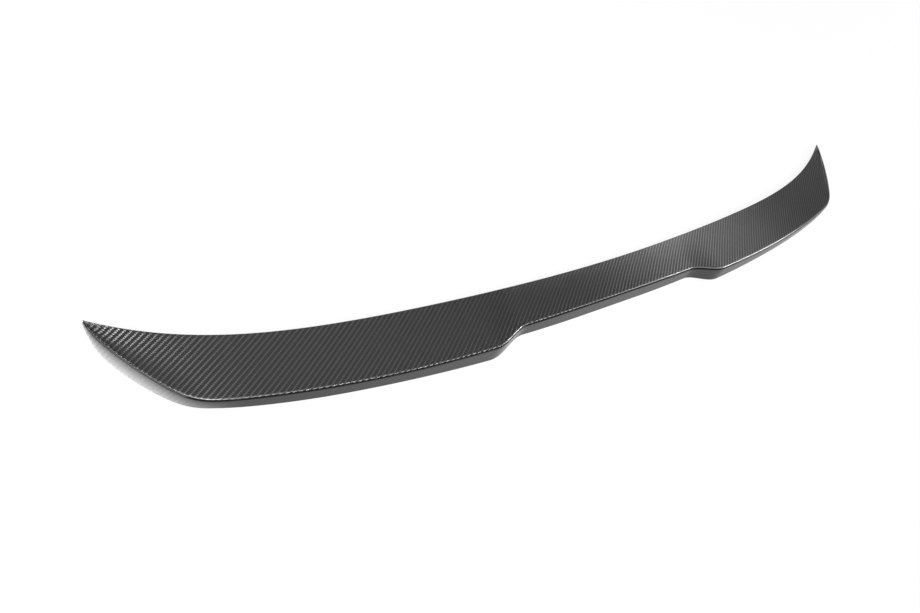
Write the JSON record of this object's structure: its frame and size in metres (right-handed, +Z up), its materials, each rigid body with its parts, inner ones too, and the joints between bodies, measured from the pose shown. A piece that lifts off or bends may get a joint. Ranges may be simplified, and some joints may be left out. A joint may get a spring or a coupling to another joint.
{
  "type": "car rear spoiler",
  "caption": "Boot lid spoiler: one thin carbon fibre shell with pointed tips, a stepped lip and a rear skirt, open underneath.",
  "frame": {"origin": "bottom centre of the shell's box, with the middle of the skirt's foot standing on Z = 0", "axes": "+X across the car to its right, +Y to the front of the car, +Z up"},
  "size_m": [1.2516, 0.1526, 0.0247],
  "materials": {
    "carbon": "black 2x2 twill carbon fibre laminate under a smooth clear coat"
  },
  "bodies": {
    "root": {"spoiler_shell": "carbon"}
  },
  "joints": []
}
